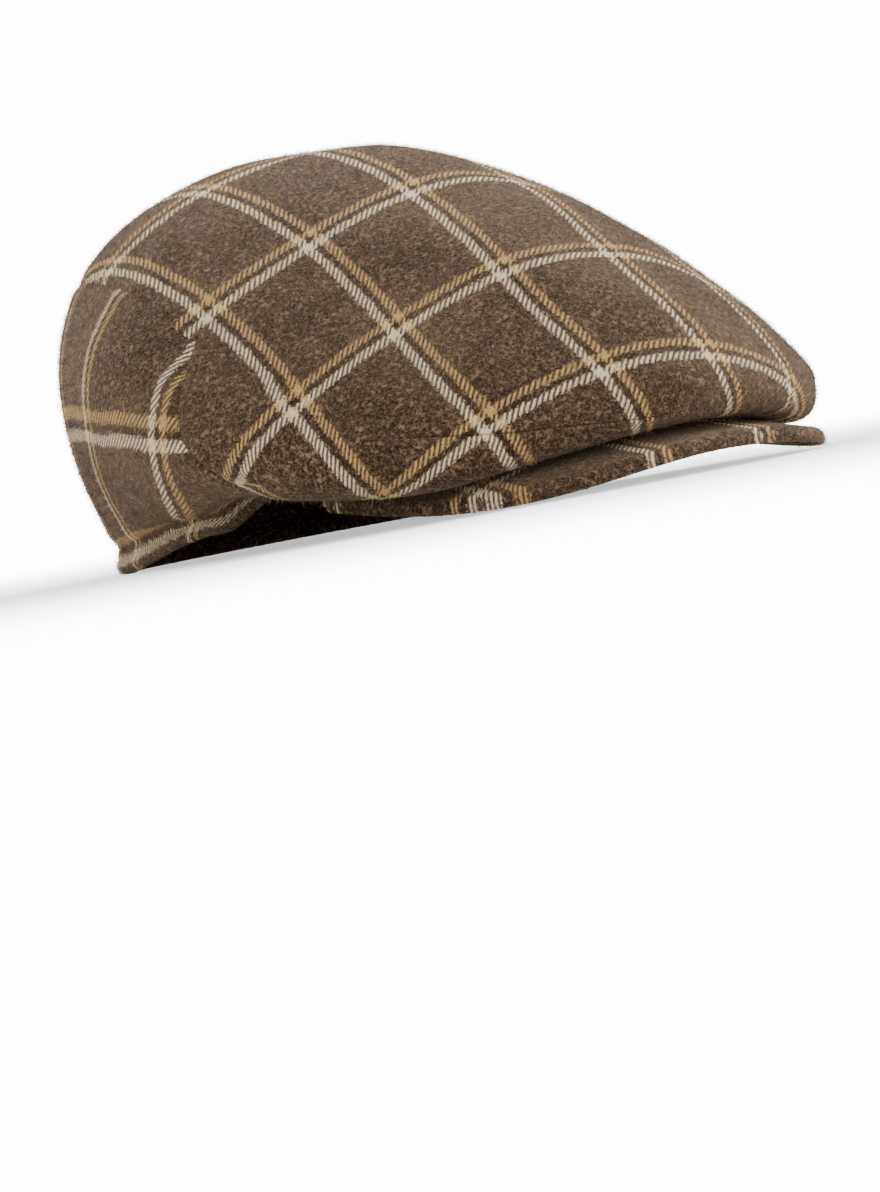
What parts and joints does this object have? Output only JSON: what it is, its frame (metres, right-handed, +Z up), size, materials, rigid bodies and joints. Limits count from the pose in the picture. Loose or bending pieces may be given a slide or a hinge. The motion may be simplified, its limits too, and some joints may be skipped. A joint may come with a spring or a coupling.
{
  "type": "flat cap",
  "caption": "Soft wool flat cap with a full crown drawn down over a short stiff peak, in a windowpane plaid, standing empty on its rim.",
  "frame": {"origin": "middle of the cap's footprint, on the surface it stands on", "axes": "+Z up, -Y out over the peak, +X to the wearer's left"},
  "size_m": [0.2238, 0.2577, 0.1175],
  "materials": {
    "plaid_wool": "matte brushed wool twill, brown melange with white and gold stripes",
    "under_cloth": "matte smooth brushed cloth"
  },
  "bodies": {
    "root": {"crown_top": "plaid_wool", "side_panel_right": "plaid_wool", "side_panel_left": "plaid_wool", "peak": "plaid_wool", "peak_under_cloth": "under_cloth"}
  },
  "joints": []
}
